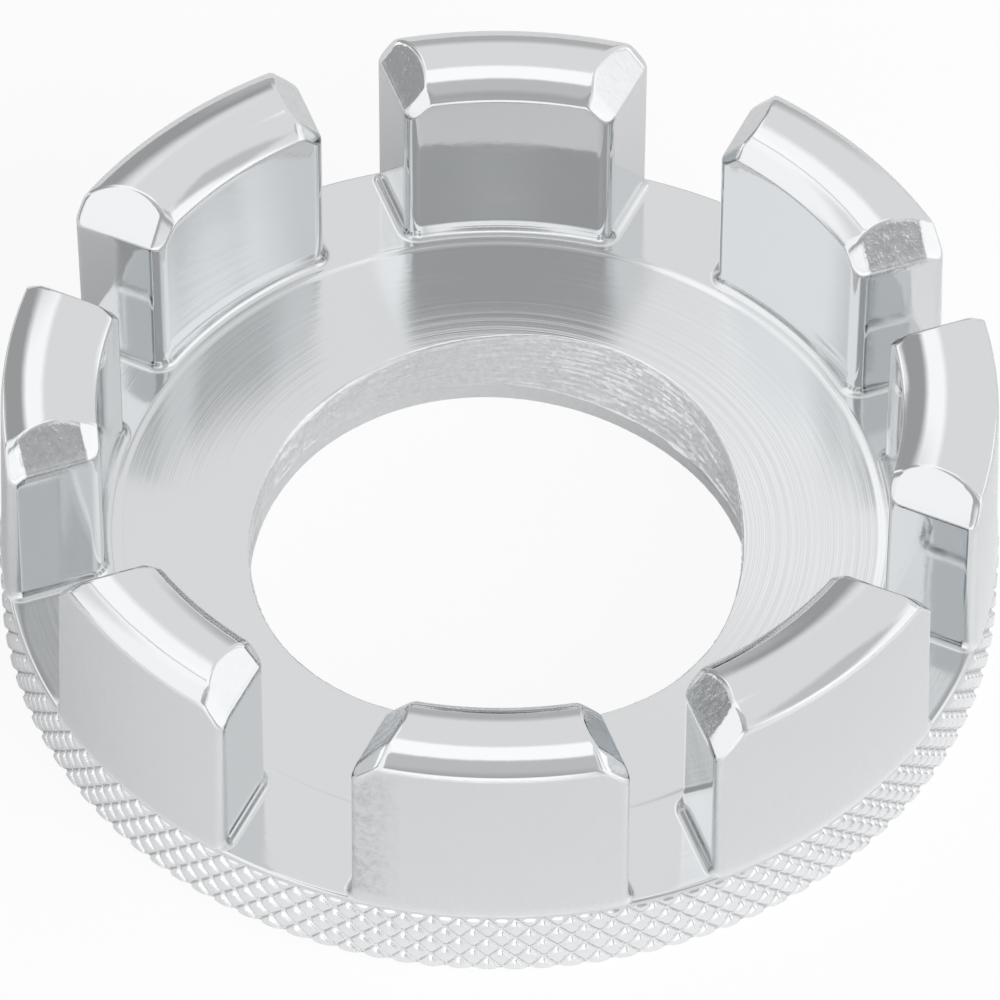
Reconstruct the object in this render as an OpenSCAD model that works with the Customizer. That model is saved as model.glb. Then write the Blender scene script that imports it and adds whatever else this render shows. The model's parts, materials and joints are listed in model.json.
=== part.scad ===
// Round spoke wrench: a knurled finger ring that carries eight upright jaw lugs.
// Each gap between two lugs is a slot that grips the flats of one size of spoke nipple.
// Millimetres, +Z up. The origin is the middle of the flat underside, slot 1 opens along +X.

/* [Ring] */
// Diameter over the tips of the knurl
rim_d = 40; // [36:0.5:60]
// Height of the ring, which is also the floor of every slot
rim_h = 3.7; // [3:0.1:8]
// Diameter of the finger hole
bore_d = 20; // [12:0.5:22]
// Bevel round the lower edge of the rim
rim_bevel = 0.5; // [0.2:0.05:1]

/* [Turned face] */
// Width of the flat ledge left between the lugs and the turned face
ledge_w = 0.35; // [0.2:0.05:0.8]
// Height of the small bevelled step from the ledge to the turned face
step_h = 0.12; // [0.05:0.01:0.3]
// Fall of the turned face from its step to the finger hole
face_fall = 0.3; // [0.1:0.05:0.8]
// Rounded run-out where the turned face meets the finger hole
bore_lip = 0.25; // [0.1:0.05:0.6]
// Thickness of the cast collar round the finger hole
collar_w = 1.2; // [0.8:0.1:2]

/* [Knurl] */
// Number of grooves in each of the two crossing directions
knurl_starts = 112; // [80:8:144]
// Height of half a knurl diamond
knurl_step = 0.53; // [0.4:0.01:0.8]
// Depth of the knurl grooves
knurl_depth = 0.32; // [0.15:0.01:0.45]
// Thickness of the band that carries the knurl
band_w = 1.1; // [0.9:0.1:1.6]

/* [Lugs] */
// Height of a lug's crest above the slot floors
lug_h = 8.6; // [6:0.1:14]
// Thickness of a lug between its outer and inner walls
lug_w = 3.9; // [3.5:0.1:4.6]
// Set-back of the outer walls from the tips of the knurl
wall_inset = 0.23; // [0.1:0.01:0.5]
// Radius of the rounded roof across a lug
roof_r = 3; // [2.5:0.1:5]
// Distance of the crest line in from the outer wall
crest_inset = 1.9; // [1.6:0.05:2.1]
// Height that the bevel at each end takes off the crest
end_bevel = 1.5; // [0.8:0.1:2]
// Length of that bevel along the crest
bevel_run = 1.2; // [0.8:0.1:2]
// Width of the facet along the outer edge of that bevel
outer_facet_w = 1; // [0.6:0.05:1.3]
// Width of the facet along its inner edge
inner_facet_w = 0.45; // [0.3:0.05:0.7]
// Tilt of both facets from the bevel
facet_tilt = 22; // [12:1:35]
// Radius of the upright corners
corner_r = 0.65; // [0.3:0.05:0.9]
// Radius of the fillets at the foot of the lugs
foot_r = 0.3; // [0.1:0.05:0.45]

/* [Slots] */
// Width of slot 1, along +X
slot_1_w = 4.1; // [3:0.05:6.2]
// Width of slot 2
slot_2_w = 3.3; // [3:0.05:6.2]
// Width of slot 3, along +Y
slot_3_w = 4.75; // [3:0.05:6.2]
// Width of slot 4
slot_4_w = 3.55; // [3:0.05:6.2]
// Width of slot 5, along -X
slot_5_w = 3.4; // [3:0.05:6.2]
// Width of slot 6
slot_6_w = 5.8; // [3:0.05:6.2]
// Width of slot 7, along -Y
slot_7_w = 5.35; // [3:0.05:6.2]
// Width of slot 8
slot_8_w = 3.45; // [3:0.05:6.2]

/* [Hidden] */
SLOT_WIDTHS = [slot_1_w, slot_2_w, slot_3_w, slot_4_w, slot_5_w, slot_6_w, slot_7_w, slot_8_w];
LUGS = len(SLOT_WIDTHS);
LUG_NAMES = [for (i = [1 : LUGS]) str("jaw_lug_", i)];

// how far every cutter runs past the solid that it cuts
over = 0.5;
$fn = 96;

rim_r = rim_d / 2;
bore_r = bore_d / 2;
wall_r = rim_r - wall_inset;
jaw_r = wall_r - lug_w;
step_r = jaw_r - ledge_w;
core_r = rim_r - band_w;
collar_r = bore_r + collar_w;
lip_r = bore_r + bore_lip;
crest_z = rim_h + lug_h;
slot_pitch = 360 / LUGS;

// height of the turned face at radius r
function face_z(r) = rim_h - step_h - face_fall * (step_r - step_h - r) / (step_r - step_h - lip_r);

// Knurl: rings of points round the band, with tips and groove crossings taking turns
knurl_rows = max(2, round((rim_h - rim_bevel) / knurl_step));
knurl_cols = 2 * knurl_starts;

function band_ring(r, z) =
    [for (i = [0 : knurl_cols - 1]) [r * cos(360 * i / knurl_cols), r * sin(360 * i / knurl_cols), z]];

function knurl_ring(row) =
    let (z = rim_bevel + (rim_h - rim_bevel) * row / knurl_rows)
    [for (i = [0 : knurl_cols - 1])
        let (r = (i + row) % 2 == 0 ? rim_r : rim_r - knurl_depth)
        [r * cos(360 * i / knurl_cols), r * sin(360 * i / knurl_cols), z]];

// two triangles between ring k and the next one, split along the groove
function band_cell(k, i, rings) =
    let (
        next = (i + 1) % knurl_cols,
        a = k * knurl_cols + i,
        b = k * knurl_cols + next,
        c = (k + 1) % rings * knurl_cols + next,
        d = (k + 1) % rings * knurl_cols + i
    )
    (i + k) % 2 == 0 ? [[a, d, b], [b, d, c]] : [[a, d, c], [a, c, b]];

module knurled_band() {
    rings = concat(
        [band_ring(core_r, 0), band_ring(rim_r - knurl_depth - rim_bevel, 0)],
        [for (row = [0 : knurl_rows]) knurl_ring(row)],
        [band_ring(core_r, rim_h)]
    );
    color("silver")
        polyhedron(
            points = [for (ring = rings) each ring],
            faces = [for (k = [0 : len(rings) - 1], i = [0 : knurl_cols - 1])
                each band_cell(k, i, len(rings))]
        );
}

// the web of the ring, with the ledge, its step and the shallow turned face
module slot_ring() {
    color("gainsboro")
        rotate_extrude()
            polygon([
                [collar_r, 0],
                [core_r, 0],
                [core_r, rim_h],
                [step_r, rim_h],
                [step_r - step_h, rim_h - step_h],
                [collar_r, face_z(collar_r)]
            ]);
}

// the rough cast wall round the finger hole
module bore_collar() {
    color("darkgray")
        rotate_extrude()
            difference() {
                polygon([
                    [bore_r, 0],
                    [collar_r, 0],
                    [collar_r, face_z(collar_r)],
                    [lip_r, face_z(lip_r)],
                    [bore_r, face_z(lip_r)]
                ]);
                translate([bore_r, face_z(lip_r) - bore_lip])
                    lip_corner();
            }
}

// what a round lip takes off a square corner
module lip_corner() {
    difference() {
        translate([-over, 0])
            square([bore_lip + over, bore_lip + over]);
        translate([bore_lip, 0])
            circle(bore_lip);
    }
}

// what fills the inner angle at the foot of a wall that stands at x = foot_r, and runs on into it
module foot_section() {
    difference() {
        square([foot_r + over, foot_r]);
        translate([0, foot_r])
            circle(foot_r);
    }
}

// radial section of a lug: parallel walls, a rounded roof and a fillet at the inner foot
module lug_section() {
    intersection() {
        translate([jaw_r, rim_h])
            square([lug_w, lug_h]);
        union() {
            translate([jaw_r, rim_h])
                square([lug_w, lug_h - roof_r]);
            translate([wall_r - crest_inset, crest_z - roof_r])
                circle(roof_r);
        }
    }
    translate([jaw_r - foot_r, rim_h])
        foot_section();
}

// places along the slot's wall, at half its width h, where the upright corners begin
function outer_corner_x(h) = sqrt(pow(wall_r - corner_r, 2) - pow(h + corner_r, 2));
function inner_corner_x(h) = sqrt(pow(jaw_r + corner_r, 2) - pow(h + corner_r, 2));

// plan of what rounding takes off an upright corner whose round begins at x = cx,
// where reach carries that round's centre out past the curved wall
module corner_plan(h, cx, reach) {
    cy = h + corner_r;
    difference() {
        polygon([
            [cx, h - over],
            [cx, cy],
            [cx, cy] * reach,
            [cx * reach, h - over]
        ]);
        translate([cx, cy])
            circle(corner_r);
    }
}

// plan of the slot from its middle line to a lug's end, with that end's two corners
module slot_plan(h) {
    translate([0, -over])
        square([rim_r + over, h + over]);
    corner_plan(h, outer_corner_x(h), (wall_r + over) / (wall_r - corner_r));
    corner_plan(h, inner_corner_x(h), (jaw_r - over) / (jaw_r + corner_r));
}

// what the bevel takes off an end whose wall is at y = h: across the lug, and up from the bevel,
// with a fall towards both walls that makes the facets
module bevel_profile(h) {
    outer_x = sqrt(pow(wall_r, 2) - pow(h, 2)) - outer_facet_w;
    inner_x = sqrt(pow(jaw_r, 2) - pow(h, 2)) + inner_facet_w;
    fall = lug_w * tan(facet_tilt);
    polygon([
        [inner_x - lug_w, -fall],
        [inner_x, 0],
        [outer_x, 0],
        [outer_x + lug_w, -fall],
        [outer_x + lug_w, lug_h],
        [inner_x - lug_w, lug_h]
    ]);
}

// everything that shapes one end of a lug, in the frame of its slot, whose wall is at y = h
module end_cuts(h) {
    translate([0, 0, rim_h - over])
        linear_extrude(lug_h + 2 * over)
            slot_plan(h);
    translate([0, h, crest_z - end_bevel])
        rotate([90 + atan2(end_bevel, bevel_run), 0, 0])
            translate([0, 0, -rim_r])
                linear_extrude(rim_d)
                    bevel_profile(h);
}

// fillet along the foot of the end wall, between its corners
module end_foot(h) {
    translate([inner_corner_x(h) + foot_r, h, rim_h])
        rotate([90, 0, 90])
            linear_extrude(outer_corner_x(h) - inner_corner_x(h) - 2 * foot_r)
                translate([-foot_r, 0])
                    foot_section();
}

// a lug stands between slot i and the next one, counted from slot 1
module jaw_lug(i) {
    near_h = SLOT_WIDTHS[i - 1] / 2;
    far_h = SLOT_WIDTHS[i % LUGS] / 2;
    color("whitesmoke")
        rotate([0, 0, slot_pitch * (i - 1)]) {
            difference() {
                rotate_extrude(angle = slot_pitch)
                    lug_section();
                end_cuts(near_h);
                rotate([0, 0, slot_pitch])
                    mirror([0, 1, 0])
                        end_cuts(far_h);
            }
            end_foot(near_h);
            rotate([0, 0, slot_pitch])
                mirror([0, 1, 0])
                    end_foot(far_h);
        }
}

knurled_band();
slot_ring();
bore_collar();
for (i = [1 : LUGS])
    jaw_lug(i);
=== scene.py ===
"""Looks of the round spoke wrench: plated lugs, diamond knurl, turned face and rough cast bore."""
import json
import math

import bpy
import numpy as np
from mathutils import Matrix, Vector


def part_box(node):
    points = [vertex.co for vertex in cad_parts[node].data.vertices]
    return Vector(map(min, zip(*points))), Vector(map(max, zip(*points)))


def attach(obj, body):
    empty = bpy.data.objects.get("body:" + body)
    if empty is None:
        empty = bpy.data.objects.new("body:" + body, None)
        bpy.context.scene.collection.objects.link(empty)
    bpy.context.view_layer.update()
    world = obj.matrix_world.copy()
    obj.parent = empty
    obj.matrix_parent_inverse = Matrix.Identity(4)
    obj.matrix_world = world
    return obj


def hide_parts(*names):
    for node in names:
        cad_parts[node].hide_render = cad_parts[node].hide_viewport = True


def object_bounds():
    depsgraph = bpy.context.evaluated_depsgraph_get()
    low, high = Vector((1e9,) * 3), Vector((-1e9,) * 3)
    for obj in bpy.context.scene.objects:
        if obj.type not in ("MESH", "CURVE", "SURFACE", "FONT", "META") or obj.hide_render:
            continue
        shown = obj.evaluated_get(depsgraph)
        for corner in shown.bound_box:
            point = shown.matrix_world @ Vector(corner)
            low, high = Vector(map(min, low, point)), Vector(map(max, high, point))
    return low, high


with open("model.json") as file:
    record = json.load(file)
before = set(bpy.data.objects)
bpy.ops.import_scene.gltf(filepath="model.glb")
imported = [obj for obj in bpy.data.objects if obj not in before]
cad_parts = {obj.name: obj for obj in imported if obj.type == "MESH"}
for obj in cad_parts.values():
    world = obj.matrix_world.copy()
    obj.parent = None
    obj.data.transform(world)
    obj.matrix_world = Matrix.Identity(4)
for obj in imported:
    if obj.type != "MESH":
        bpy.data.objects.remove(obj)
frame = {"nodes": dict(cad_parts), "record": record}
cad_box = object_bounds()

MM = 0.001

# Turn from the photograph's frame, X to the right of the view and Y away from the camera, to the model's
photo_turn = math.radians(24.8)

# Points closer together than the first are welded, and edges sharper than the second are shaded as sharp
weld_size = 1e-8
sharp_angle = math.radians(50)

# Sizes and the number of lugs, as the frame gives them
rim_r = cad_box[1].x
crest_z = cad_box[1].z
floor_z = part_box("slot_ring")[1].z
core_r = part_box("slot_ring")[1].x
collar_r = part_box("bore_collar")[1].x
collar_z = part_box("bore_collar")[1].z
bore_r = next(m for m in frame["record"]["mounts"] if m["name"] == "finger_hole")["dims"]["r_mm"] * MM
lug_count = sum(name.startswith("jaw_lug_") for name in frame["nodes"])
pitch = 2 * math.pi / lug_count


def turned(points, angle):
    """Points turned about the ring's axis: x and y times the rotation by that angle."""
    c, s = math.cos(angle), math.sin(angle)
    out = points.copy()
    out[..., 0] = c * points[..., 0] - s * points[..., 1]
    out[..., 1] = s * points[..., 0] + c * points[..., 1]
    return out


def node_points(name):
    """The corners of a CAD node's mesh as rows of x, y and z."""
    mesh = frame["nodes"][name].data
    flat = np.zeros(len(mesh.vertices) * 3, np.float32)
    mesh.vertices.foreach_get("co", flat)
    return flat.reshape(-1, 3).astype(float)


# Height over the slot floors where the walls of a lug are clear of its foot
above_foot = 1.5 * MM


def slot_half(lug, side):
    """Half the width of the slot beside a lug: the least distance of the lug's wall from the slot's middle
    plane."""
    angle = pitch * (lug - 1) if side == "near" else pitch * lug
    points = turned(node_points(f"jaw_lug_{lug}"), -angle)
    wall = points[points[:, 2] > floor_z + above_foot]
    return np.abs(wall[:, 1]).min()


lug_points = node_points("jaw_lug_1")
lug_radii = np.hypot(lug_points[:, 0], lug_points[:, 1])
wall_r = lug_radii.max()
jaw_r = lug_radii[lug_points[:, 2] > floor_z + above_foot].min()

# Sizes of the lugs that the frame doesn't give: the roof, the corners of the plan and the edges of the top
roof_r = 3.0 * MM
crest_inset = 1.9 * MM
crest_r = wall_r - crest_inset
outer_corner_r = 0.42 * MM
inner_corner_r = 0.65 * MM
edge_r = 0.08 * MM
outer_edge_r = 0.2 * MM

# Widths over which facets blend into each other and into the roof
facet_blend = 0.07 * MM
roof_blend = 0.13 * MM

# Fillet at the foot of a lug
foot_r = 0.34 * MM
outer_foot_r = 0.05 * MM
foot_h = 0.45 * MM

# How far the outer walls lean in over their height, and how far in from the edge the top follows them
wall_lean = 0.26 * MM
back_wall_lean = -0.15 * MM
back_lugs = (3, 4)
lean_fade = 0.3 * MM

# Fall of an inner facet for each millimetre
inner_slope = 0.65

# How finely a lug is divided: its plan along the crest, past the crest's ends at the outer and the inner
# wall, round a corner and along an end, then its rings on foot, wall, edge, leaning rim and roof
crest_steps = 150
outer_steps = 12
inner_steps = 8
corner_steps = 20
end_steps = 44
foot_rings = 14
wall_rings = 26
edge_rings = 11
rim_rings = 6
roof_rings = 60

# Bevels at the lugs' ends, as the photograph shows them: how deep each takes the crest, how far it runs along
# the crest, how wide the facet along its outer edge is at the end wall and at the roof, how much that facet
# falls outwards per millimetre, how wide the inner facet is, and how much of the cast grain the bevel keeps,
# whose darker spots are partly grain and partly painted shade
BEVELS_MM = {
    (1, "near"): (1.45, 1.25, 0.35, 0.60, 0.50, 0.35, 0.0),
    (1, "far"): (1.75, 1.35, 0.80, 0.90, 0.60, 0.45, 0.4),
    (2, "near"): (1.50, 1.30, 0.80, 0.75, 0.50, 0.50, 0.8),
    (2, "far"): (1.50, 1.20, 0.70, 0.80, 0.50, 0.45, 0.4),
    (3, "near"): (1.50, 1.30, 0.45, 0.45, 0.50, 0.45, 0.1),
    (3, "far"): (1.50, 1.20, 0.40, 0.40, 0.50, 0.50, 0.3),
    (4, "near"): (1.50, 1.30, 0.70, 0.80, 0.50, 0.45, 0.4),
    (4, "far"): (1.50, 1.45, 0.40, 0.40, 0.50, 0.42, 0.0),
    (5, "near"): (1.80, 1.30, 0.80, 0.90, 0.60, 0.45, 0.4),
    (5, "far"): (1.48, 1.25, 0.78, 0.78, 0.65, 0.45, 0.7),
    (6, "near"): (1.50, 1.20, 0.80, 0.90, 0.60, 0.45, 0.4),
    (6, "far"): (1.42, 1.12, 0.70, 0.85, 0.50, 0.35, 0.1),
    (7, "near"): (1.38, 1.22, 0.75, 1.35, 0.50, 0.45, 0.5),
    (7, "far"): (1.25, 1.18, 0.75, 1.25, 0.47, 0.45, 0.2),
    (8, "near"): (1.45, 1.20, 0.90, 1.30, 0.50, 0.45, 1.0),
    (8, "far"): (1.50, 1.20, 0.80, 0.90, 0.50, 0.45, 0.4),
}

# Outer walls that the casting left rough beside their near end, with how rough, and how far the patch
# reaches.
# The patch also takes the grain's darker spots, which are partly painted shade
ROUGH_AND_SHADED_PATCHES = {7: 1.0}
patch_w = 2.2 * MM
patch_soft = 1.4 * MM


def waves(shape_seed, count, low, high, *coords):
    """Smooth unevenness from -1 to 1: a sum of plane waves with whole numbers of waves per turn in the first
    coordinate, so that it closes round the ring, and random directions and phases from one seed."""
    rng = np.random.default_rng(shape_seed)
    total = np.zeros(np.broadcast(*coords).shape)
    for _ in range(count):
        rate = rng.uniform(low, high)
        lean = rng.uniform(0, 2 * math.pi)
        phase = rng.uniform(0, 2 * math.pi)
        turns = round(rate * math.cos(lean))
        total = total + np.cos(turns * coords[0] + rate * math.sin(lean) * coords[1] + phase)
    return total / math.sqrt(count)


def skin(name, grid, closed_v, attributes=None):
    """A mesh from a grid of points, rows v by columns u. Columns close on themselves, rows close too if
    closed_v is set. Points that coincide are welded, a quad that loses a corner becomes a triangle, and the
    whole is turned outwards by the sign of its volume."""
    rows, columns = grid.shape[:2]
    points = grid.reshape(-1, 3)
    index = np.arange(rows * columns).reshape(rows, columns)
    below = index if closed_v else index[:-1]
    above = np.roll(index, -1, 0) if closed_v else index[1:]
    quads = np.stack([below, np.roll(below, -1, 1), np.roll(above, -1, 1), above], -1).reshape(-1, 4)
    _, first, place = np.unique(np.round(points / weld_size).astype(np.int64), axis=0,
                                return_index=True, return_inverse=True)
    quads = place.reshape(-1)[quads]
    points = points[first]
    a, b, c, d = (points[quads[:, k]] for k in range(4))
    volume = (np.cross(b - a, c - a) * a).sum() + (np.cross(c - a, d - a) * a).sum()
    if volume < 0:
        quads = quads[:, ::-1]
    faces = []
    whole = (quads != np.roll(quads, -1, 1)).all(1)
    for quad in quads[~whole].tolist():
        corners = [p for k, p in enumerate(quad) if p != quad[k - 1]]
        if len(corners) == len(set(corners)) == 3:
            faces.append(tuple(corners))
    faces.extend(map(tuple, quads[whole].tolist()))
    mesh = bpy.data.meshes.new(name)
    mesh.from_pydata(points.tolist(), [], faces)
    for title, values in (attributes or {}).items():
        layer = mesh.attributes.new(title, "FLOAT", "POINT")
        layer.data.foreach_set("value", values.reshape(-1)[first].astype(np.float32))
    mesh.shade_smooth()
    mesh.set_sharp_from_angle(angle=sharp_angle)
    piece = bpy.data.objects.new(name, mesh)
    bpy.context.scene.collection.objects.link(piece)
    return piece


def least(a, b, k):
    """Smooth minimum: the lesser of a and b, less a quarter of k where the two are equal."""
    gap = np.maximum(k - np.abs(a - b), 0) / k
    return np.minimum(a, b) - gap * gap * k / 4


def corner_angle(half, reach, radius, side):
    """Angle, seen from the axis, of the middle of a corner's round: reach is that middle's distance from the
    axis, and it lies half plus the round's radius from the slot's middle plane."""
    return side * math.asin((half + radius) / reach)


def arc(centre, radius, start, end, steps):
    """Points and outward normals on an arc, without its last point."""
    a = np.linspace(start, end, steps, endpoint=False)
    normal = np.stack([np.cos(a), np.sin(a)], -1)
    return np.array(centre) + radius * normal, normal


def straight(start, end, normal, steps):
    """Points on a line with one normal, without its last point."""
    t = np.linspace(0, 1, steps, endpoint=False)[:, None]
    points = np.array(start) * (1 - t) + np.array(end) * t
    return points, np.repeat(np.array([normal]), steps, 0)


def polar(radius, angle):
    """The point at a radius and an angle."""
    return np.array([radius * math.cos(angle), radius * math.sin(angle)])


def lug_outline(near_half, far_half):
    """Plan of a lug between its near slot, whose middle lies along +X, and its far slot, one pitch round.
    Outer wall, far end, inner wall and near end are joined by rounds. Returns points, normals and the angle
    of each point's foot on the crest line."""
    outer_reach, inner_reach = wall_r - outer_corner_r, jaw_r + inner_corner_r
    outer_near = corner_angle(near_half, outer_reach, outer_corner_r, 1)
    outer_far = pitch + corner_angle(far_half, outer_reach, outer_corner_r, -1)
    inner_near = corner_angle(near_half, inner_reach, inner_corner_r, 1)
    inner_far = pitch + corner_angle(far_half, inner_reach, inner_corner_r, -1)
    half_thick = 0.5 * (wall_r - jaw_r)
    crest_near = math.asin((near_half + half_thick) / crest_r)
    crest_far = pitch - math.asin((far_half + half_thick) / crest_r)
    quarter = math.pi / 2
    span = np.linspace(crest_near, crest_far, crest_steps)
    outer_lead = np.linspace(outer_near, crest_near, outer_steps, endpoint=False)
    outer_tail = np.linspace(crest_far, outer_far, outer_steps, endpoint=False)[1:]
    inner_lead = np.linspace(inner_far, crest_far, inner_steps, endpoint=False)
    inner_tail = np.linspace(crest_near, inner_near, inner_steps, endpoint=False)[1:]
    pieces = []
    outer_angles = np.concatenate([outer_lead, span, outer_tail])
    wall = np.stack([np.cos(outer_angles), np.sin(outer_angles)], -1)
    pieces.append((wall_r * wall, wall))
    pieces.append(arc(polar(outer_reach, outer_far), outer_corner_r,
                      outer_far, pitch + quarter, corner_steps))
    far_normal = polar(1, pitch + quarter)
    far_start = polar(outer_reach, outer_far) + outer_corner_r * far_normal
    far_end = polar(inner_reach, inner_far) + inner_corner_r * far_normal
    pieces.append(straight(far_start, far_end, far_normal, end_steps))
    pieces.append(arc(polar(inner_reach, inner_far), inner_corner_r,
                      pitch + quarter, inner_far + math.pi, corner_steps))
    inner_angles = np.concatenate([inner_lead, span[::-1], inner_tail])
    wall = np.stack([np.cos(inner_angles), np.sin(inner_angles)], -1)
    pieces.append((jaw_r * wall, -wall))
    pieces.append(arc(polar(inner_reach, inner_near), inner_corner_r,
                      inner_near + math.pi, 3 * quarter, corner_steps))
    near_normal = polar(1, -quarter)
    near_start = polar(inner_reach, inner_near) + inner_corner_r * near_normal
    near_end = polar(outer_reach, outer_near) + outer_corner_r * near_normal
    pieces.append(straight(near_start, near_end, near_normal, end_steps))
    pieces.append(arc(polar(outer_reach, outer_near), outer_corner_r,
                      -quarter, outer_near, corner_steps))
    points = np.concatenate([p for p, _ in pieces])
    normals = np.concatenate([n for _, n in pieces])
    crest = np.clip(np.arctan2(points[:, 1], points[:, 0]), crest_near, crest_far)
    return points, normals, crest


def end_height(x, y, half, bevel):
    """Height of the facets at one end, in the frame of its slot. The bevel climbs its depth over its run from
    the end wall. The outer facet is a plane that leaves it on a line from its width at the wall to its width
    at the roof and falls outwards, and the inner facet falls inwards by inner_slope. Also tells where the
    bevel itself is the lowest of the three."""
    depth, run, wall_w, roof_w, outer_fall, inner_w, _ = bevel
    along = (y - half) / MM
    plain = crest_z + (along * depth / run - depth) * MM
    outer_edge = math.sqrt(wall_r ** 2 - half ** 2) - (wall_w + (roof_w - wall_w) * along / run) * MM
    inner_edge = math.sqrt(jaw_r ** 2 - half ** 2) + inner_w * MM
    outer = plain - outer_fall * (x - outer_edge)
    inner = plain - inner_slope * (inner_edge - x)
    bare = np.clip((np.minimum(outer, inner) - plain) / facet_blend, 0, 1)
    return least(least(plain, outer, facet_blend), inner, facet_blend), bare


def lug_height(x, y, near_half, far_half, near_bevel, far_bevel):
    """Height of a lug's top: a roof of radius roof_r along the crest, lowered to the facets at both ends.
    Also tells how much of the cast grain each place keeps: its end's share on a bevel, and none elsewhere."""
    offset = np.hypot(x, y) - crest_r
    roof = crest_z - roof_r + np.sqrt(roof_r ** 2 - offset ** 2)
    near, near_bare = end_height(x, y, near_half, near_bevel)
    c, s = math.cos(pitch), math.sin(pitch)
    far, far_bare = end_height(c * x + s * y, s * x - c * y, far_half, far_bevel)
    ends = np.minimum(near, far)
    share = np.where(near < far, near_bevel[-1] * near_bare, far_bevel[-1] * far_bare)
    return least(roof, ends, roof_blend), share * np.clip((roof - ends) / roof_blend, 0, 1)


def jaw_lug(number):
    """A lug as rings about its plan: up the foot fillet and the wall, over the rounded edge and in across the
    roof to the crest line. A ring at depth d inside the plan lies at the plan minus d times its normal. Each
    point also has its share of outer wall, of cast grain, and of the wear on feet, corners and edges."""
    near_half, far_half = slot_half(number, "near"), slot_half(number, "far")
    near_bevel, far_bevel = BEVELS_MM[(number, "near")], BEVELS_MM[(number, "far")]
    points, normals, crest = lug_outline(near_half, far_half)
    spine = crest_r * np.stack([np.cos(crest), np.sin(crest)], -1)
    radial = points / np.hypot(points[:, 0], points[:, 1])[:, None]
    outward = np.clip((normals * radial).sum(1), 0, 1)
    flare = foot_r + (outer_foot_r - foot_r) * outward ** 2

    def height(plan):
        return lug_height(plan[:, 0], plan[:, 1], near_half, far_half, near_bevel, far_bevel)

    rings = []
    satin = []
    grainy = []
    worn = []
    round_r = edge_r + (outer_edge_r - edge_r) * outward ** 2
    middle_z = 0.5 * (floor_z + crest_z)
    lean_all = back_wall_lean if number in back_lugs else wall_lean
    corner = 4 * outward * (1 - outward)
    patch_along = wall_r * np.arctan2(points[:, 1], points[:, 0]) - near_half
    patch = ROUGH_AND_SHADED_PATCHES.get(number, 0) * np.clip((patch_w - patch_along) / patch_soft, 0, 1) * outward

    def leant(plan, z, leaning):
        """The plan with its outer wall leaning by a share of lean_all."""
        lean = leaning * lean_all * (middle_z - z) / (crest_z - floor_z) * outward ** 2
        return plan + normals * np.broadcast_to(lean, len(plan))[:, None]

    def add(plan, z, shine, grain=0, wear=0):
        """A ring over a plan, with its values for the outer wall, the cast grain and the wear."""
        rings.append(np.column_stack([plan, np.broadcast_to(z, len(plan))]))
        satin.append(shine)
        grainy.append(outward * 0 + grain)
        worn.append(outward * 0 + wear)

    def add_top(inset, drop, shine, wear):
        """A ring of the top, inset into the plan: it leans as the wall's upper edge does, less and less to
        lean_fade inside it."""
        plan = points - normals * np.broadcast_to(inset, len(points))[:, None]
        plan = leant(plan, height(plan)[0], 1 - inset / lean_fade)
        z, grain = height(plan)
        add(plan, z - drop, shine, grain, wear)

    foot_plan = points + normals * flare[:, None]
    for t in (0, 0.35, 0.7):
        add(spine * (1 - t) + leant(foot_plan, floor_z, 1) * t, floor_z, outward * 0)
    for a in np.linspace(0, math.pi / 2, foot_rings):
        out = flare * (1 - math.sin(a))
        z = floor_z + foot_h * (1 - math.cos(a))
        add(leant(points + normals * out[:, None], z, 1), z, outward, 0, np.maximum(corner, math.cos(a)))
    edge = height(points)[0]
    for t in np.linspace(0, 1, wall_rings)[1:-1]:
        z = floor_z + foot_h + (edge - round_r - floor_z - foot_h) * t
        add(leant(points, z, 1), z, outward, patch, corner)
    for a in np.linspace(0, math.pi / 2, edge_rings):
        add_top(round_r * (1 - math.cos(a)), round_r * (1 - math.sin(a)), outward * (1 - math.sin(a)),
                math.sin(2 * a))
    for t in np.linspace(0, 1, rim_rings)[1:]:
        add_top(round_r * (1 - t) + lean_fade * t, 0, outward * 0, (1 - t) ** 2)
    rim_plan = points - normals * lean_fade
    for t in np.linspace(0, 1, roof_rings)[1:]:
        plan = rim_plan * (1 - t) + spine * t
        z, grain = height(plan)
        add(plan, z, outward * 0, grain)
    grid = turned(np.array(rings), pitch * (number - 1))
    masks = {"outer_wall": np.array(satin), "cast": np.array(grainy), "edge": np.array(worn)}
    piece = skin(f"plated_lug_{number}", grid, False, masks)
    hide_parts(f"jaw_lug_{number}")
    return piece


# Sizes of the knurl. Shares and blends are parts of half a diamond, and the crown is a part of the depth
knurl_starts = 114
diamonds_per_mm = 0.85
knurl_pitch = 1 / diamonds_per_mm * MM
knurl_foot = 0.5 * MM
knurl_depth = 0.22 * MM
foot_slope = 1.4
groove_share = 0.42
cross_depth_share = 0.72
groove_blend = 0.1
crown_share = 0.14
cells = 14
ring_gap = 0.02 * MM
lip_top = 0.17 * MM
lip_round = 0.14 * MM
lip_set_back = 0.14 * MM
lip_fade = 0.16 * MM


def knurl_radius(angle, z):
    """Radius of the knurl: two families of grooves cross, one at half values of u + w and one at half values
    of u - w, with u in diamonds round the rim and w in diamonds up it. Each groove is a V whose half width is
    a share of the way to the middle of the diamond, and the second family is the shallower one."""
    u = knurl_starts * angle / (2 * math.pi)
    w = (z - knurl_foot) / knurl_pitch
    from_main = np.abs((u + w) % 1 - 0.5) * 2
    from_cross = np.abs((u - w) % 1 - 0.5) * 2
    main = np.maximum(1 - from_main / groove_share, 0)
    cross = np.maximum(1 - from_cross / groove_share, 0) * cross_depth_share
    crown = crown_share * ((1 - from_main) ** 2 + (1 - from_cross) ** 2)
    return rim_r - knurl_depth * np.minimum(-least(-main, -cross, groove_blend) + crown, 1)


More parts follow.
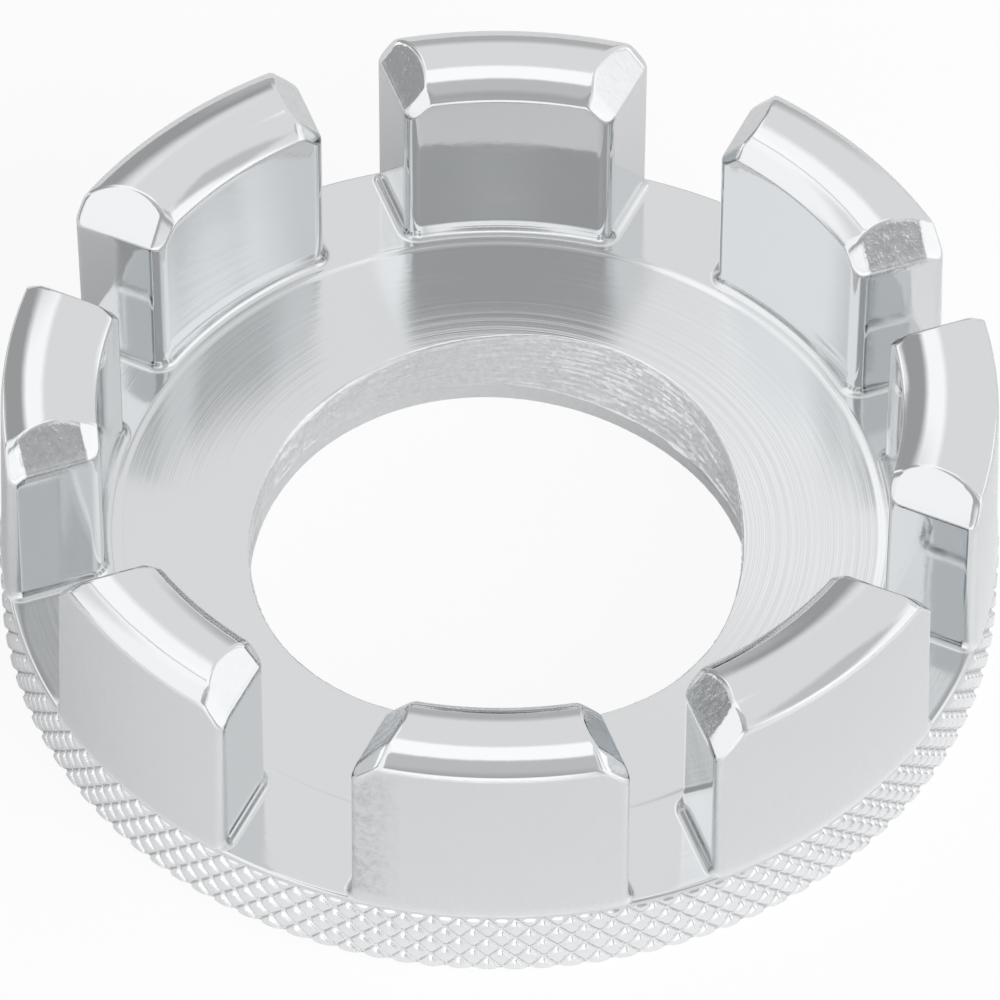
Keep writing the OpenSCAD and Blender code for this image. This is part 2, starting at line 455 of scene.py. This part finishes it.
def knurled_rim():
    """The band as rings up its outside: the lower bevel, the knurl r = knurl_radius, the smooth rounded lip
    over it, into which the knurl fades, then the top in to the joint with the web and down that joint.
    Heights step by whole parts of a diamond, so that the grooves run through the corners of the grid."""
    angle = np.linspace(0, 2 * math.pi, knurl_starts * cells, endpoint=False)
    under = rim_r - knurl_depth - knurl_foot
    lip_r = rim_r - lip_set_back
    lip_foot = floor_z - lip_top
    rings = [(np.full_like(angle, r), 0.0, 0) for r in (core_r, 0.5 * (core_r + under), under)]
    step = knurl_pitch / cells
    first = knurl_foot - step * int(knurl_foot / step)
    for z in np.arange(first, lip_foot - ring_gap, step):
        r = np.minimum(knurl_radius(angle, z), under + z * foot_slope)
        t = min((lip_foot - z) / lip_fade, 1)
        rings.append((lip_r + (r - lip_r) * t * t * (3 - 2 * t), z, t))
    for a in np.linspace(0, math.pi / 2, 8):
        r = lip_r - lip_round * (1 - math.cos(a))
        rings.append((np.full_like(angle, r), floor_z - lip_round * (1 - math.sin(a)), 0))
    for outside_mm in (0.6, 0.3, 0):
        rings.append((np.full_like(angle, core_r + outside_mm * MM), floor_z, 0))
    grid = np.array([np.stack([r * np.cos(angle), r * np.sin(angle), np.full_like(angle, z)], -1)
                     for r, z, _ in rings])
    rolled = np.array([np.full_like(angle, share) for _, _, share in rings])
    piece = skin("knurled_rim", grid, True, {"knurl": rolled})
    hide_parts("knurled_band")
    return piece


# Sizes of the turned face
ledge_w = 0.35 * MM
step_r = jaw_r - ledge_w
step_h = 0.07 * MM
step_w = 0.42 * MM
face_r = step_r - step_w
face_slope = (floor_z - step_h - collar_z) / (face_r - collar_r)
web_columns = 720


def revolved(name, profile, columns, masks):
    """A closed profile of radius and height turned about the axis, with a value for each of its points."""
    angle = np.linspace(0, 2 * math.pi, columns, endpoint=False)
    r, z = np.array(profile).T
    grid = np.stack([r[:, None] * np.cos(angle), r[:, None] * np.sin(angle),
                     np.repeat(z[:, None], columns, 1)], -1)
    return skin(name, grid, True, {title: np.repeat(np.array(values)[:, None], columns, 1)
                                   for title, values in masks.items()})


def between(start, end, steps):
    """Points on a straight piece of a profile, without its last."""
    t = np.linspace(0, 1, steps, endpoint=False)[:, None]
    return (np.array(start) * (1 - t) + np.array(end) * t).tolist()


def turned_web():
    """The web of the ring: flat slot floors, the narrow ledge, a small step that falls as 3 t^2 - 2 t^3 of
    its height at t of its width, and the shallow face."""
    share = np.linspace(0, 1, 13)
    fall = share ** 2 * (3 - 2 * share)
    step = np.column_stack([step_r - step_w * share, floor_z - step_h * fall]).tolist()
    profile = between((collar_r, 0), (core_r, 0), 12)
    profile += between((core_r, 0), (core_r, floor_z), 4)
    profile += between((core_r, floor_z), (step_r, floor_z), 14)
    profile += step
    profile += between((face_r, floor_z - step_h), (collar_r, collar_z), 34)[1:]
    profile += between((collar_r, collar_z), (collar_r, 0), 6)
    smooth = [float(r >= step_r) for r, _ in profile]
    piece = revolved("turned_web", profile, web_columns, {"slot_floor": smooth})
    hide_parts("slot_ring")
    return piece


# Sizes of the cast wall in the bore. Its lip and its foot are uneven: each is the bore's radius plus a few
# waves round it, as pairs of cosine and sine weights for none, one, two and more waves to the turn
LIP_WAVES_MM = [(0.143, 0), (0.028, 0.144), (-0.258, 0.002), (0.139, -0.22), (0.025, -0.142)]
FOOT_WAVES_MM = [(0.042, 0), (-0.014, -0.044), (0.128, -0.026), (0.081, 0.077)]

# Round of the lip: its least radius and what it gains at its soft side, and where that side is
lip_round_least = 0.09
lip_round_gain = 0.33
soft_side = math.radians(145) + photo_turn
soft_spread = math.radians(40)

# The flash line low on the wall, and how rough the wall is below it
flash_z = 0.92 * MM
flash_step = 0.05 * MM
flash_edge = 0.03 * MM
flash_foot = 0.05 * MM
flash_spread = 0.12 * MM
below_flash = 0.4

# Chamfer at the foot of the wall, and heights of the cast surface's unevennesses in millimetres
bore_chamfer = 0.1 * MM
lump_h = 0.022
pit_h = 0.012
flash_lump_h = 0.05
flash_drift_h = 0.06
bore_columns = 1000


def wavy(angle, pairs):
    """The sum over k of c cos(k angle) + s sin(k angle), in metres."""
    return sum((c * np.cos(k * angle) + s * np.sin(k * angle)) * MM for k, (c, s) in enumerate(pairs))


def rough_bore():
    """The cast collar: the turned face runs on to an uneven lip, and the wall leans from there to its foot,
    rough down to a low flash line. Each row of points is a share of the way along the profile at its own
    angle, plus waves that only the rough wall has."""
    angle = np.linspace(0, 2 * math.pi, bore_columns, endpoint=False)
    from_soft = (angle - soft_side + math.pi) % (2 * math.pi) - math.pi
    soft = (lip_round_least + lip_round_gain * np.exp(-(from_soft / soft_spread) ** 2)) * MM
    lip = bore_r + wavy(angle, LIP_WAVES_MM)
    wall = bore_r + wavy(angle, FOOT_WAVES_MM)
    lip_z = collar_z - face_slope * (collar_r - lip - soft)
    rings = []
    rough = []

    def add(r, z, share):
        """A ring of the wall, and how rough it is."""
        rings.append((r + 0 * angle, z + 0 * angle))
        rough.append(share + 0 * angle)

    for z in np.linspace(0, collar_z, 4):
        add(collar_r, z, 0)
    for t in np.linspace(0, 1, 14)[1:-1]:
        r = collar_r * (1 - t) + (lip + soft) * t
        add(r, collar_z - face_slope * (collar_r - r), 0)
    for a in np.linspace(0, math.pi / 2, 12):
        add(lip + soft * (1 - math.sin(a)), lip_z - soft * (1 - math.cos(a)), math.sin(a) ** 3)
    top = lip_z - soft
    for t in np.linspace(0, 1, 44)[1:]:
        add(wall + (lip - wall) * (1 - t) + flash_step * t, top + (flash_z - top) * t, 1)
    for t in np.linspace(0, 1, 4)[1:]:
        add(wall + flash_step * (1 - t), flash_z - flash_edge * t, 1 - (1 - below_flash) * t)
    for z in np.linspace(flash_z - flash_foot, bore_chamfer, 12):
        add(wall, z, below_flash)
    for t in np.linspace(0, 1, 4):
        add(wall + bore_chamfer * t, bore_chamfer * (1 - t), 0)
    add(0.5 * (wall + collar_r), 0, 0)
    r, z = np.array(rings).transpose(1, 0, 2)
    rough = np.array(rough)
    along = z / MM
    lumps = waves(3, 50, 8, 40, angle, along * 2)
    pits = waves(7, 80, 70, 260, angle, along * 8)
    drift = waves(11, 8, 3, 16, angle, along * 0)
    near_flash = np.exp(-((z - flash_z) / flash_spread) ** 2)
    r = r - rough * (lump_h * lumps + pit_h * pits + flash_lump_h * near_flash * np.abs(lumps)) * MM
    z = z + np.sqrt(rough) * near_flash * flash_drift_h * drift * MM
    grid = np.stack([r * np.cos(angle), r * np.sin(angle), z], -1)
    piece = skin("rough_bore", grid, True, {"cast": rough})
    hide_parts("bore_collar")
    return piece


def nodes_of(material):
    """A material's node tree, emptied."""
    material.use_nodes = True
    tree = material.node_tree
    tree.nodes.clear()
    return tree


def link(tree, start, end):
    """Leads one node's output to another's input."""
    tree.links.new(start, end)


def feed(tree, socket, value):
    """Gives an input its value: another node's output, a colour of three parts or a number."""
    if isinstance(value, bpy.types.NodeSocket):
        link(tree, value, socket)
    elif isinstance(value, tuple):
        socket.default_value = (*value, 1)
    else:
        socket.default_value = value


def math_node(tree, kind, first, second):
    """A math node on two values, each an output or a number."""
    node = tree.nodes.new("ShaderNodeMath")
    node.operation = kind
    for socket, value in zip(node.inputs, (first, second)):
        feed(tree, socket, value)
    return node.outputs[0]


def mixed(tree, factor, first, second, kind="FLOAT"):
    """What goes from the first to the second with a factor: numbers, or colours where the kind is RGBA."""
    node = tree.nodes.new("ShaderNodeMix")
    node.data_type = kind
    for title, value in (("Factor", factor), ("A", first), ("B", second)):
        feed(tree, node.inputs[title], value)
    return node.outputs["Result"]


def bump_of(tree, height, distance, strength=1.0):
    """A bump from a height between 0 and 1 that stands for a real distance."""
    node = tree.nodes.new("ShaderNodeBump")
    node.inputs["Distance"].default_value = distance
    node.inputs["Strength"].default_value = strength
    link(tree, height, node.inputs["Height"])
    return node.outputs["Normal"]


def noise_of(tree, scale, detail=2.0, coordinates=None, roughness=0.5):
    """Noise on Object coordinates, or on the coordinates given."""
    node = tree.nodes.new("ShaderNodeTexNoise")
    node.inputs["Scale"].default_value = scale
    node.inputs["Detail"].default_value = detail
    node.inputs["Roughness"].default_value = roughness
    if coordinates is None:
        coordinates = tree.nodes.new("ShaderNodeTexCoord").outputs["Object"]
    link(tree, coordinates, node.inputs["Vector"])
    return node.outputs["Fac"]


def ranged(tree, value, low, high, out_low, out_high):
    """A value between low and high spread over out_low to out_high, and held at those ends."""
    node = tree.nodes.new("ShaderNodeMapRange")
    for title, number in (("From Min", low), ("From Max", high), ("To Min", out_low), ("To Max", out_high)):
        node.inputs[title].default_value = number
    link(tree, value, node.inputs["Value"])
    return node.outputs["Result"]


def blended(tree, factor, first, second):
    """A shader that goes from the first to the second with a factor."""
    node = tree.nodes.new("ShaderNodeMixShader")
    for socket, value in zip(node.inputs, (factor, first, second)):
        link(tree, value, socket)
    return node.outputs[0]


def metal(name, color):
    """A plated metal and its tree: base colour, full metallic, and sockets left to fill."""
    material = bpy.data.materials.new(name)
    tree = nodes_of(material)
    shader = tree.nodes.new("ShaderNodeBsdfPrincipled")
    output = tree.nodes.new("ShaderNodeOutputMaterial")
    link(tree, shader.outputs["BSDF"], output.inputs["Surface"])
    feed(tree, shader.inputs["Base Color"], color)
    shader.inputs["Metallic"].default_value = 1
    return material, tree, shader


# Colours of the plate: plain; in the dark spots of the lugs' cast grain, which are partly grain and partly
# painted shade; on the knurl, painted brighter as painted light; and in the bore
chrome = (0.785, 0.80, 0.81)
grain_and_shade_chrome = (0.58, 0.60, 0.615)
knurl_chrome_painted_bright = (0.91, 0.92, 0.93)
cast_chrome_pale = (0.93, 0.94, 0.95)
cast_chrome_dark = (0.79, 0.80, 0.81)

# Scales of the grain, in waves per metre
polish_waves = 500
broad_waves = 240
soft_waves = 1500
blotch_waves = 1900
fine_waves = 5200
knurl_waves = 3000
web_waves = 300
cast_tone_waves = 4200
pit_waves = 3800

# Scales of the turning marks and of the patches in which they are stronger, in waves per metre
fine_marks = 26000
coarse_marks = 5000
mark_patches = 130

# Heights that the bumps stand for
lug_bump = 0.02 * MM
knurl_bump = 0.008 * MM
turned_bump = 0.012 * MM

# What satin, cast grain and wear add to the roughness of a lug
satin_rough = 0.24
cast_rough = 0.1
worn_rough = 0.2

# Share of the turning marks that is left on the slot floors, and of any bump in what other metal mirrors
floor_marks = 0.35
mirrored_bump = 0.33


def float_group(name, inputs, output):
    """A new node group with the given inputs and their defaults and one output, all plain values."""
    group = bpy.data.node_groups.new(name, "ShaderNodeTree")
    for title, default in inputs:
        socket = group.interface.new_socket(title, in_out="INPUT", socket_type="NodeSocketFloat")
        socket.default_value = default
    group.interface.new_socket(output, in_out="OUTPUT", socket_type="NodeSocketFloat")
    return group, group.nodes.new("NodeGroupInput"), group.nodes.new("NodeGroupOutput")


def grain_group():
    """Grain of a cast and plated surface: speckle is one value from 0 to 1 that changes over the surface."""
    group, entry, leave = float_group("plated_grain", (("Scale", 3000.0), ("Detail", 3.0)), "Speckle")
    noise = group.nodes.new("ShaderNodeTexNoise")
    noise.inputs["Roughness"].default_value = 0.6
    link(group, group.nodes.new("ShaderNodeTexCoord").outputs["Object"], noise.inputs["Vector"])
    link(group, entry.outputs["Scale"], noise.inputs["Scale"])
    link(group, entry.outputs["Detail"], noise.inputs["Detail"])
    link(group, ranged(group, noise.outputs["Fac"], 0.2, 0.8, 0, 1), leave.inputs["Speckle"])
    return group


def marks_group():
    """Turning marks: fine and coarse noise along the distance from the ring's axis, the same all the way
    round, the coarse part stronger in patches."""
    group, entry, leave = float_group("turning_marks", (("Fine", 0.35), ("Coarse", 1.0)), "Height")
    parts = group.nodes.new("ShaderNodeSeparateXYZ")
    link(group, group.nodes.new("ShaderNodeTexCoord").outputs["Object"], parts.inputs["Vector"])
    squares = [math_node(group, "MULTIPLY", parts.outputs[axis], parts.outputs[axis]) for axis in ("X", "Y")]
    radius = math_node(group, "SQRT", math_node(group, "ADD", *squares), 0)
    lines = group.nodes.new("ShaderNodeCombineXYZ")
    link(group, radius, lines.inputs["X"])
    fine = noise_of(group, fine_marks, 2, lines.outputs["Vector"], 0.6)
    coarse = noise_of(group, coarse_marks, 2, lines.outputs["Vector"])
    patches = ranged(group, noise_of(group, mark_patches, 1), 0.4, 0.6, 0.35, 1)
    strong = math_node(group, "MULTIPLY", patches, entry.outputs["Coarse"])
    link(group, weighted(group, (fine, entry.outputs["Fine"]), (coarse, strong)), leave.inputs["Height"])
    return group


def speckle_of(tree, scale, detail=3.0):
    """The grain at one scale, in waves per metre."""
    node = tree.nodes.new("ShaderNodeGroup")
    node.node_tree = plated_grain
    node.inputs["Scale"].default_value = scale
    node.inputs["Detail"].default_value = detail
    return node.outputs["Speckle"]


def marks_of(tree, fine, coarse):
    """The turning marks, with the weights of their fine and coarse parts."""
    node = tree.nodes.new("ShaderNodeGroup")
    node.node_tree = turning_marks
    node.inputs["Fine"].default_value = fine
    node.inputs["Coarse"].default_value = coarse
    return node.outputs["Height"]


def mask_of(tree, title, low, high):
    """The piece's own attribute, spread from nothing at low to one at high."""
    node = tree.nodes.new("ShaderNodeAttribute")
    node.attribute_name = title
    return ranged(tree, node.outputs["Fac"], low, high, 0, 1)


def weighted(tree, *terms):
    """Sum of values times their weights: each term is a socket and a socket or number."""
    total = None
    for value, weight in terms:
        part = math_node(tree, "MULTIPLY", value, weight)
        total = part if total is None else math_node(tree, "ADD", total, part)
    return total


def toned(tree, mask, first, second):
    """A colour that goes from the first to the second with a mask."""
    return mixed(tree, mask, first, second, "RGBA")


def lug_finish():
    """Bright plate over faint waves. The outer walls are satin, feet, corners and edges are a little worn,
    and some bevels at the ends and a rough patch of outer wall keep the grain of the casting, with darker
    spots in it that are partly grain and partly painted shade."""
    material, tree, shader = metal("lug_plate", chrome)
    satin = mask_of(tree, "outer_wall", 0.25, 0.7)
    cast = mask_of(tree, "cast", 0, 1)
    worn = mask_of(tree, "edge", 0, 1)
    polish = ranged(tree, speckle_of(tree, polish_waves), 0, 1, 0.04, 0.09)
    dulled = weighted(tree, (satin, satin_rough), (cast, cast_rough), (worn, worn_rough))
    link(tree, math_node(tree, "ADD", polish, dulled), shader.inputs["Roughness"])
    fine = speckle_of(tree, fine_waves, 2)
    blotches = speckle_of(tree, blotch_waves)
    # The darker spots are partly cast grain and partly painted shade, on the bevels and on the rough wall
    # patch
    spots = math_node(tree, "MULTIPLY", ranged(tree, fine, 0.3, 0.7, 0.4, 1),
                      ranged(tree, blotches, 0.35, 0.65, 0.4, 1))
    grain_and_shade_spots = math_node(tree, "MULTIPLY", cast, spots)
    link(tree, toned(tree, grain_and_shade_spots, chrome, grain_and_shade_chrome), shader.inputs["Base Color"])
    height = weighted(tree, (speckle_of(tree, broad_waves, 1), 0.5), (speckle_of(tree, soft_waves, 2), 0.07),
                      (fine, weighted(tree, (satin, 0.5), (cast, 0.55))),
                      (blotches, weighted(tree, (satin, 0.9), (cast, 1.6))))
    link(tree, bump_of(tree, height, lug_bump), shader.inputs["Normal"])
    return material


def knurl_finish():
    """Plate on the diamonds, painted brighter than the plain plate as painted light, with a little roughness,
    and the web's plate on the lip and the top.
    """
    material, tree, shader = metal("knurl_plate", chrome)
    rolled = mask_of(tree, "knurl", 0, 1)
    # The diamonds' paler colour is painted light, brighter than the plain plate
    link(tree, toned(tree, rolled, chrome, knurl_chrome_painted_bright), shader.inputs["Base Color"])
    link(tree, ranged(tree, rolled, 0, 1, 0.1, 0.2), shader.inputs["Roughness"])
    height = weighted(tree, (speckle_of(tree, knurl_waves), rolled), (marks_of(tree, 0.2, 0.4), 1.0))
    link(tree, bump_of(tree, height, knurl_bump), shader.inputs["Normal"])
    return material


def calmer_mirrored(tree, height):
    """A bump's height, lowered in what other metal mirrors, where fine marks only make noise."""
    path = tree.nodes.new("ShaderNodeLightPath")
    share = ranged(tree, path.outputs["Is Glossy Ray"], 0, 1, 1, mirrored_bump)
    return math_node(tree, "MULTIPLY", height, share)


def turned_finish():
    """Plate over fine concentric lines, which are faint on the smooth slot floors."""
    material, tree, shader = metal("turned_plate", chrome)
    flat = mask_of(tree, "slot_floor", 0, 1)
    height = math_node(tree, "MULTIPLY", marks_of(tree, 0.35, 1.0), ranged(tree, flat, 0, 1, 1, floor_marks))
    link(tree, bump_of(tree, calmer_mirrored(tree, height), turned_bump), shader.inputs["Normal"])
    patches = ranged(tree, speckle_of(tree, web_waves), 0, 1, 0.08, 0.16)
    link(tree, math_node(tree, "SUBTRACT", patches, weighted(tree, (flat, 0.05))), shader.inputs["Roughness"])
    return material


def cast_finish():
    """Plate over the rough cast wall, with pits in the bump and a faint speckle in the tone. On the face
    above it the turning marks go on."""
    material, tree, shader = metal("cast_plate", chrome)
    cast = mask_of(tree, "cast", 0.1, 0.7)
    dull = toned(tree, speckle_of(tree, cast_tone_waves), cast_chrome_pale, cast_chrome_dark)
    link(tree, toned(tree, cast, chrome, dull), shader.inputs["Base Color"])
    link(tree, ranged(tree, cast, 0, 1, 0.12, 0.45), shader.inputs["Roughness"])
    plain = math_node(tree, "SUBTRACT", 1.0, cast)
    pits = math_node(tree, "MULTIPLY", cast, 2.5)
    height = weighted(tree, (marks_of(tree, 0.35, 1.0), plain), (speckle_of(tree, pit_waves, 4), pits))
    link(tree, bump_of(tree, calmer_mirrored(tree, height), turned_bump), shader.inputs["Normal"])
    return material


# The photograph's camera: the view comes from this angle round from +X, this high, at this distance, and
# points at a place a little to the right of the axis and partway up
view_azimuth = photo_turn - math.pi / 2
view_elevation = math.radians(49.3)
view_roll = math.radians(0.28)
view_distance = 400 * MM
view_lens = 361.1
view_aside = 0.024 * MM
view_height = 5.294 * MM
view_target = Vector((view_aside * math.cos(photo_turn), view_aside * math.sin(photo_turn), view_height))


def camera():
    """The camera looks at the target from its distance, turned by the roll about its own line of sight."""
    back = Vector((math.cos(view_azimuth) * math.cos(view_elevation),
                   math.sin(view_azimuth) * math.cos(view_elevation), math.sin(view_elevation)))
    side = Vector((-math.sin(view_azimuth), math.cos(view_azimuth), 0))
    up = back.cross(side)
    x = side * math.cos(view_roll) + up * math.sin(view_roll)
    y = up * math.cos(view_roll) - side * math.sin(view_roll)
    data = bpy.data.cameras.new("view")
    data.lens = view_lens
    data.sensor_width = 36
    data.clip_start = 0.01
    data.clip_end = 20
    seen = bpy.data.objects.new("view", data)
    seen.matrix_world = Matrix((x, y, back)).transposed().to_4x4()
    seen.location = view_target + back * view_distance
    bpy.context.scene.collection.objects.link(seen)
    bpy.context.scene.camera = seen


# The bench: half its side, how far it lies under the object, the grey of its matte part, and how much of it
# is plain white to the camera and in what the metal mirrors
bench_half = 1.5
bench_drop = 0.02 * MM
bench_matte = (0.9, 0.9, 0.9)
bench_white = 0.92
bench_white_mirrored = 0.2


def floor():
    """A wide pale floor: white to the camera, with a faint share of the object's shadow, and a stronger share
    of that shadow in what the metal mirrors. From below it lets the underside be seen."""
    corners = [(x * bench_half, y * bench_half, -bench_drop) for x, y in ((-1, -1), (1, -1), (1, 1), (-1, 1))]
    mesh = bpy.data.meshes.new("bench")
    mesh.from_pydata(corners, [], [(0, 1, 2, 3)])
    bench = bpy.data.objects.new("bench", mesh)
    bpy.context.scene.collection.objects.link(bench)
    material = bpy.data.materials.new("bench_white")
    tree = nodes_of(material)
    matte = tree.nodes.new("ShaderNodeBsdfDiffuse")
    feed(tree, matte.inputs["Color"], bench_matte)
    white = tree.nodes.new("ShaderNodeEmission")
    white.inputs["Color"].default_value = (1, 1, 1, 1)
    path = tree.nodes.new("ShaderNodeLightPath").outputs
    seen = weighted(tree, (path["Is Camera Ray"], bench_white), (path["Is Glossy Ray"], bench_white_mirrored))
    above = blended(tree, seen, matte.outputs[0], white.outputs[0])
    below = tree.nodes.new("ShaderNodeBsdfTransparent").outputs[0]
    behind = tree.nodes.new("ShaderNodeNewGeometry").outputs["Backfacing"]
    output = tree.nodes.new("ShaderNodeOutputMaterial")
    link(tree, blended(tree, behind, above, below), output.inputs["Surface"])
    mesh.materials.append(material)


# The studio as metal sees it, on a dome seen from above: X to the right of the view and Y away from the
# camera, both as parts of the dome's radius. Each panel has its middle, half its size, its turn in degrees,
# its soft edge and its level, and a later panel covers the earlier ones
PANELS = [
    ("left light", (-0.70, -0.35), (0.32, 0.55), 0, 0.06, 1.11),
    ("top light beside the view", (-0.31, 0.40), (0.20, 0.34), 0, 0.05, 1.16),
    ("top light overhead", (-0.08, 0.12), (0.30, 0.19), 0, 0.03, 1.2),
    ("light low in front", (0.0, -0.95), (0.45, 0.12), 0, 0.03, 1.25),
    ("gap in front", (-0.02, -0.42), (0.40, 0.35), 0, 0.03, 0.607),
    ("lower gap in front", (-0.02, -0.62), (0.40, 0.21), 0, 0.06, 0.464),
    ("gap at the front right", (0.52, -0.78), (0.20, 0.20), 0, 0.04, 0.446),
    ("right light", (0.88, -0.14), (0.19, 0.42), 0, 0.05, 1.16),
    ("gap at the right", (0.62, -0.03), (0.09, 0.17), 0, 0.03, 0.624),
    ("gap at the back left", (-0.625, 0.86), (0.165, 0.40), 0, 0.05, 0.392),
    ("gap at the left", (-1.00, 0.24), (0.13, 0.24), 0, 0.04, 0.392),
    ("gap at the back", (-0.48, 1.04), (0.36, 0.20), 0, 0.04, 0.392),
    ("low gap at the back", (0.05, 1.02), (0.30, 0.08), 0, 0.03, 0.517),
    ("seam between the lights", (-0.40, 0.245), (0.26, 0.010), -54, 0.008, 0.624),
    ("low light at the left", (-0.83, 0.56), (0.05, 0.13), -34, 0.02, 1.27),
    ("low light at the right", (0.866, 0.50), (0.05, 0.13), 30, 0.02, 1.27),
]
studio_level = 0.848

# The light that falls on the floor: weak from all round, and strong from a patch at the front right
floor_light_low = 0.31
floor_light_high = 4.5
floor_light_turn = math.radians(-40)
floor_light_start = 0.6
floor_light_full = 0.7


def panel_mask(tree, parts, middle, half, turn, soft):
    """One inside a panel and nothing outside it: the product over both directions of a soft step at its edge,
    after the place is moved to the panel's middle and turned back by its turn."""
    moved = [math_node(tree, "SUBTRACT", parts.outputs[axis], centre) for axis, centre in zip("XY", middle)]
    c, s = math.cos(math.radians(turn)), math.sin(math.radians(turn))
    along = weighted(tree, (moved[0], c), (moved[1], s))
    across = weighted(tree, (moved[1], c), (moved[0], -s))
    steps = [ranged(tree, math_node(tree, "ABSOLUTE", way, 0), size - soft, size + soft, 1, 0)
             for way, size in zip((along, across), half)]
    return math_node(tree, "MULTIPLY", *steps)


def studio():
    """For the matte floor a strong light from the front right over a weak one from all round, for the camera
    a white surround, and for metal a grey room with soft panels and the dark gaps between them."""
    world = bpy.data.worlds.new("studio")
    bpy.context.scene.world = world
    world.use_nodes = True
    tree = world.node_tree
    tree.nodes.clear()
    turn = tree.nodes.new("ShaderNodeMapping")
    turn.inputs["Rotation"].default_value = (0, 0, -photo_turn)
    link(tree, tree.nodes.new("ShaderNodeTexCoord").outputs["Generated"], turn.inputs["Vector"])
    parts = tree.nodes.new("ShaderNodeSeparateXYZ")
    link(tree, turn.outputs["Vector"], parts.inputs["Vector"])
    level = studio_level
    for _, middle, half, turn_back, soft, strength in PANELS:
        level = mixed(tree, panel_mask(tree, parts, middle, half, turn_back, soft), level, strength)
    towards = weighted(tree, (parts.outputs["X"], math.cos(floor_light_turn)),
                       (parts.outputs["Y"], math.sin(floor_light_turn)))
    lamp = ranged(tree, towards, floor_light_start, floor_light_full, floor_light_low, floor_light_high)
    path = tree.nodes.new("ShaderNodeLightPath").outputs
    lit = mixed(tree, path["Is Glossy Ray"], lamp, level)
    background = tree.nodes.new("ShaderNodeBackground")
    background.inputs["Color"].default_value = (1, 1, 1, 1)
    link(tree, mixed(tree, path["Is Camera Ray"], lit, 1), background.inputs["Strength"])
    output = tree.nodes.new("ShaderNodeOutputWorld")
    link(tree, background.outputs[0], output.inputs["Surface"])


def dress(piece, material):
    """Gives a piece its material and lets it ride on the part's one body."""
    piece.data.materials.append(material)
    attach(piece, "root")


bpy.context.scene.view_settings.view_transform = "Standard"
camera()
floor()
studio()
plated_grain = grain_group()
turning_marks = marks_group()
lug_plate = lug_finish()
for lug in range(1, lug_count + 1):
    dress(jaw_lug(lug), lug_plate)
dress(knurled_rim(), knurl_finish())
dress(turned_web(), turned_finish())
dress(rough_bore(), cast_finish())
